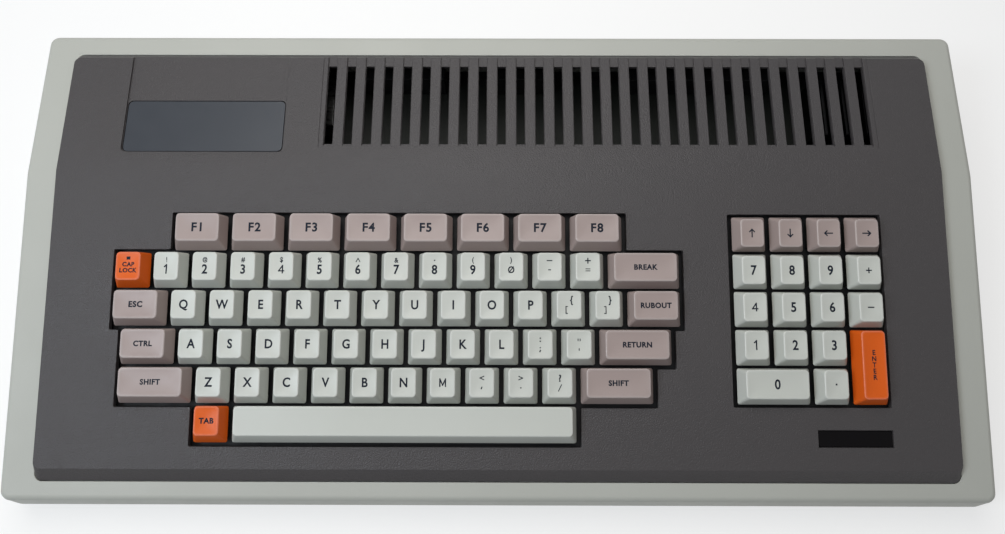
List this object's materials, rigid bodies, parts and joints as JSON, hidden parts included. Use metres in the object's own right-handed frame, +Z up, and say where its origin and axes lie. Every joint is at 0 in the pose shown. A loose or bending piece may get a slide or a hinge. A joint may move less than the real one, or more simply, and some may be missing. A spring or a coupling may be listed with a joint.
{
  "type": "home computer",
  "caption": "Home computer with a built-in keyboard: low cream case, sloping dark deck with a stepped key field and a number pad, a flat slotted rear deck, and rear sockets.",
  "frame": {"origin": "middle of the whole width and depth, rear sockets included, on the surface that the feet stand on", "axes": "+X to the user's right along the key rows, +Y away from the user towards the rear sockets, +Z up"},
  "size_m": [0.496, 0.2534, 0.0602],
  "materials": {
    "cream_case": "fine moulded grain, warm off-white",
    "brown_deck": "pebbled moulded grain, dark warm grey-brown",
    "slate_plate": "satin, dark slate",
    "smoked_window": "smoked, near black",
    "red_lamp": "clear red resin",
    "plated_steel": "zinc plated",
    "black_painted_steel": "black stove enamel",
    "green_board": "green solder mask",
    "grey_ribbon": "grey flat cable",
    "anodised_aluminium": "dull anodised",
    "tinned_steel": "tinned sheet",
    "black_moulding": "black moulded",
    "black_rubber": "matt",
    "white_cap": "satin off-white keycap",
    "taupe_cap": "satin pinkish beige keycap",
    "orange_cap": "satin orange keycap"
  },
  "bodies": {
    "case": {"lower_case": "cream_case", "upper_case": "cream_case", "deck_panel": "brown_deck", "nameplate": "slate_plate", "status_window": "smoked_window", "power_lamp": "red_lamp", "keyboard_plate": "black_painted_steel", "keyboard_board": "green_board", "ribbon_cable": "grey_ribbon", "main_board": "green_board", "heat_sink": "anodised_aluminium", "tv_modulator": "tinned_steel", "monitor_and_tape_jacks": "black_moulding", "power_inlet": "black_moulding", "controller_port": "black_moulding", "expansion_socket": "black_moulding", "power_switch": "black_moulding", "foot_front_left": "black_rubber", "foot_front_right": "black_rubber", "foot_rear_left": "black_rubber", "foot_rear_right": "black_rubber", "case_screw_front_left": "plated_steel", "case_screw_front_right": "plated_steel", "case_screw_rear_left": "plated_steel", "case_screw_rear_right": "plated_steel"},
    "power_rocker": {"power_rocker": "black_moulding"},
    "space_bar": {"space_bar": "white_cap"},
    "enter_key": {"enter_key": "orange_cap"},
    "return_key": {"return_key": "taupe_cap"},
    "left_shift_key": {"left_shift_key": "taupe_cap"},
    "right_shift_key": {"right_shift_key": "taupe_cap"},
    "control_key": {"control_key": "taupe_cap"},
    "escape_key": {"escape_key": "taupe_cap"},
    "rubout_key": {"rubout_key": "taupe_cap"},
    "break_key": {"break_key": "taupe_cap"},
    "capitals_lock_key": {"capitals_lock_key": "orange_cap"},
    "tab_key": {"tab_key": "orange_cap"},
    "digit_keys_left": {"digit_keys_left": "white_cap"},
    "digit_keys_right": {"digit_keys_right": "white_cap"},
    "upper_keys_left": {"upper_keys_left": "white_cap"},
    "upper_keys_right": {"upper_keys_right": "white_cap"},
    "home_keys_left": {"home_keys_left": "white_cap"},
    "home_keys_right": {"home_keys_right": "white_cap"},
    "lower_keys_left": {"lower_keys_left": "white_cap"},
    "lower_keys_right": {"lower_keys_right": "white_cap"},
    "pad_keys_upper": {"pad_keys_upper": "white_cap"},
    "pad_keys_lower": {"pad_keys_lower": "white_cap"},
    "pad_zero_key": {"pad_zero_key": "white_cap"},
    "cursor_up_key": {"cursor_up_key": "taupe_cap"},
    "cursor_down_key": {"cursor_down_key": "taupe_cap"},
    "cursor_left_key": {"cursor_left_key": "taupe_cap"},
    "cursor_right_key": {"cursor_right_key": "taupe_cap"},
    "function_key_1": {"function_key_1": "taupe_cap"},
    "function_key_2": {"function_key_2": "taupe_cap"},
    "function_key_3": {"function_key_3": "taupe_cap"},
    "function_key_4": {"function_key_4": "taupe_cap"},
    "function_key_5": {"function_key_5": "taupe_cap"},
    "function_key_6": {"function_key_6": "taupe_cap"},
    "function_key_7": {"function_key_7": "taupe_cap"},
    "function_key_8": {"function_key_8": "taupe_cap"}
  },
  "joints": [
    {"name": "power_rocker_tilt", "type": "hinge", "parent": "case", "child": "power_rocker", "pos_m": [-0.20662, 0.12092, 0.0252], "axis": [0, 0, 1], "range_deg": [0, 18]},
    {"name": "space_bar_press", "type": "slide", "parent": "case", "child": "space_bar", "axis": [0, 0.1369, -0.9906], "range_m": [0, 0.0038], "stiffness_N_per_m": 160, "springref_m": -0.003},
    {"name": "enter_key_press", "type": "slide", "parent": "case", "child": "enter_key", "axis": [0, 0.1369, -0.9906], "range_m": [0, 0.0038], "stiffness_N_per_m": 100, "springref_m": -0.003},
    {"name": "return_key_press", "type": "slide", "parent": "case", "child": "return_key", "axis": [0, 0.1369, -0.9906], "range_m": [0, 0.0038], "stiffness_N_per_m": 100, "springref_m": -0.003},
    {"name": "left_shift_key_press", "type": "slide", "parent": "case", "child": "left_shift_key", "axis": [0, 0.1369, -0.9906], "range_m": [0, 0.0038], "stiffness_N_per_m": 100, "springref_m": -0.003},
    {"name": "right_shift_key_press", "type": "slide", "parent": "case", "child": "right_shift_key", "axis": [0, 0.1369, -0.9906], "range_m": [0, 0.0038], "stiffness_N_per_m": 100, "springref_m": -0.003},
    {"name": "control_key_press", "type": "slide", "parent": "case", "child": "control_key", "axis": [0, 0.1369, -0.9906], "range_m": [0, 0.0038], "stiffness_N_per_m": 80, "springref_m": -0.003},
    {"name": "escape_key_press", "type": "slide", "parent": "case", "child": "escape_key", "axis": [0, 0.1369, -0.9906], "range_m": [0, 0.0038], "stiffness_N_per_m": 80, "springref_m": -0.003},
    {"name": "rubout_key_press", "type": "slide", "parent": "case", "child": "rubout_key", "axis": [0, 0.1369, -0.9906], "range_m": [0, 0.0038], "stiffness_N_per_m": 80, "springref_m": -0.003},
    {"name": "break_key_press", "type": "slide", "parent": "case", "child": "break_key", "axis": [0, 0.1369, -0.9906], "range_m": [0, 0.0038], "stiffness_N_per_m": 100, "springref_m": -0.003},
    {"name": "capitals_lock_key_press", "type": "slide", "parent": "case", "child": "capitals_lock_key", "axis": [0, 0.1369, -0.9906], "range_m": [0, 0.0038], "stiffness_N_per_m": 80, "springref_m": -0.003},
    {"name": "tab_key_press", "type": "slide", "parent": "case", "child": "tab_key", "axis": [0, 0.1369, -0.9906], "range_m": [0, 0.0038], "stiffness_N_per_m": 80, "springref_m": -0.003},
    {"name": "digit_keys_left_press", "type": "slide", "parent": "case", "child": "digit_keys_left", "axis": [0, 0.1369, -0.9906], "range_m": [0, 0.0038], "stiffness_N_per_m": 480, "springref_m": -0.003},
    {"name": "digit_keys_right_press", "type": "slide", "parent": "case", "child": "digit_keys_right", "axis": [0, 0.1369, -0.9906], "range_m": [0, 0.0038], "stiffness_N_per_m": 480, "springref_m": -0.003},
    {"name": "upper_keys_left_press", "type": "slide", "parent": "case", "child": "upper_keys_left", "axis": [0, 0.1369, -0.9906], "range_m": [0, 0.0038], "stiffness_N_per_m": 480, "springref_m": -0.003},
    {"name": "upper_keys_right_press", "type": "slide", "parent": "case", "child": "upper_keys_right", "axis": [0, 0.1369, -0.9906], "range_m": [0, 0.0038], "stiffness_N_per_m": 480, "springref_m": -0.003},
    {"name": "home_keys_left_press", "type": "slide", "parent": "case", "child": "home_keys_left", "axis": [0, 0.1369, -0.9906], "range_m": [0, 0.0038], "stiffness_N_per_m": 480, "springref_m": -0.003},
    {"name": "home_keys_right_press", "type": "slide", "parent": "case", "child": "home_keys_right", "axis": [0, 0.1369, -0.9906], "range_m": [0, 0.0038], "stiffness_N_per_m": 400, "springref_m": -0.003},
    {"name": "lower_keys_left_press", "type": "slide", "parent": "case", "child": "lower_keys_left", "axis": [0, 0.1369, -0.9906], "range_m": [0, 0.0038], "stiffness_N_per_m": 400, "springref_m": -0.003},
    {"name": "lower_keys_right_press", "type": "slide", "parent": "case", "child": "lower_keys_right", "axis": [0, 0.1369, -0.9906], "range_m": [0, 0.0038], "stiffness_N_per_m": 400, "springref_m": -0.003},
    {"name": "pad_keys_upper_press", "type": "slide", "parent": "case", "child": "pad_keys_upper", "axis": [0, 0.1369, -0.9906], "range_m": [0, 0.0038], "stiffness_N_per_m": 640, "springref_m": -0.003},
    {"name": "pad_keys_lower_press", "type": "slide", "parent": "case", "child": "pad_keys_lower", "axis": [0, 0.1369, -0.9906], "range_m": [0, 0.0038], "stiffness_N_per_m": 320, "springref_m": -0.003},
    {"name": "pad_zero_key_press", "type": "slide", "parent": "case", "child": "pad_zero_key", "axis": [0, 0.1369, -0.9906], "range_m": [0, 0.0038], "stiffness_N_per_m": 100, "springref_m": -0.003},
    {"name": "cursor_up_key_press", "type": "slide", "parent": "case", "child": "cursor_up_key", "axis": [0, 0.1369, -0.9906], "range_m": [0, 0.0038], "stiffness_N_per_m": 80, "springref_m": -0.003},
    {"name": "cursor_down_key_press", "type": "slide", "parent": "case", "child": "cursor_down_key", "axis": [0, 0.1369, -0.9906], "range_m": [0, 0.0038], "stiffness_N_per_m": 80, "springref_m": -0.003},
    {"name": "cursor_left_key_press", "type": "slide", "parent": "case", "child": "cursor_left_key", "axis": [0, 0.1369, -0.9906], "range_m": [0, 0.0038], "stiffness_N_per_m": 80, "springref_m": -0.003},
    {"name": "cursor_right_key_press", "type": "slide", "parent": "case", "child": "cursor_right_key", "axis": [0, 0.1369, -0.9906], "range_m": [0, 0.0038], "stiffness_N_per_m": 80, "springref_m": -0.003},
    {"name": "function_key_1_press", "type": "slide", "parent": "case", "child": "function_key_1", "axis": [0, 0.1369, -0.9906], "range_m": [0, 0.0038], "stiffness_N_per_m": 80, "springref_m": -0.003},
    {"name": "function_key_2_press", "type": "slide", "parent": "case", "child": "function_key_2", "axis": [0, 0.1369, -0.9906], "range_m": [0, 0.0038], "stiffness_N_per_m": 80, "springref_m": -0.003},
    {"name": "function_key_3_press", "type": "slide", "parent": "case", "child": "function_key_3", "axis": [0, 0.1369, -0.9906], "range_m": [0, 0.0038], "stiffness_N_per_m": 80, "springref_m": -0.003},
    {"name": "function_key_4_press", "type": "slide", "parent": "case", "child": "function_key_4", "axis": [0, 0.1369, -0.9906], "range_m": [0, 0.0038], "stiffness_N_per_m": 80, "springref_m": -0.003},
    {"name": "function_key_5_press", "type": "slide", "parent": "case", "child": "function_key_5", "axis": [0, 0.1369, -0.9906], "range_m": [0, 0.0038], "stiffness_N_per_m": 80, "springref_m": -0.003},
    {"name": "function_key_6_press", "type": "slide", "parent": "case", "child": "function_key_6", "axis": [0, 0.1369, -0.9906], "range_m": [0, 0.0038], "stiffness_N_per_m": 80, "springref_m": -0.003},
    {"name": "function_key_7_press", "type": "slide", "parent": "case", "child": "function_key_7", "axis": [0, 0.1369, -0.9906], "range_m": [0, 0.0038], "stiffness_N_per_m": 80, "springref_m": -0.003},
    {"name": "function_key_8_press", "type": "slide", "parent": "case", "child": "function_key_8", "axis": [0, 0.1369, -0.9906], "range_m": [0, 0.0038], "stiffness_N_per_m": 80, "springref_m": -0.003}
  ]
}
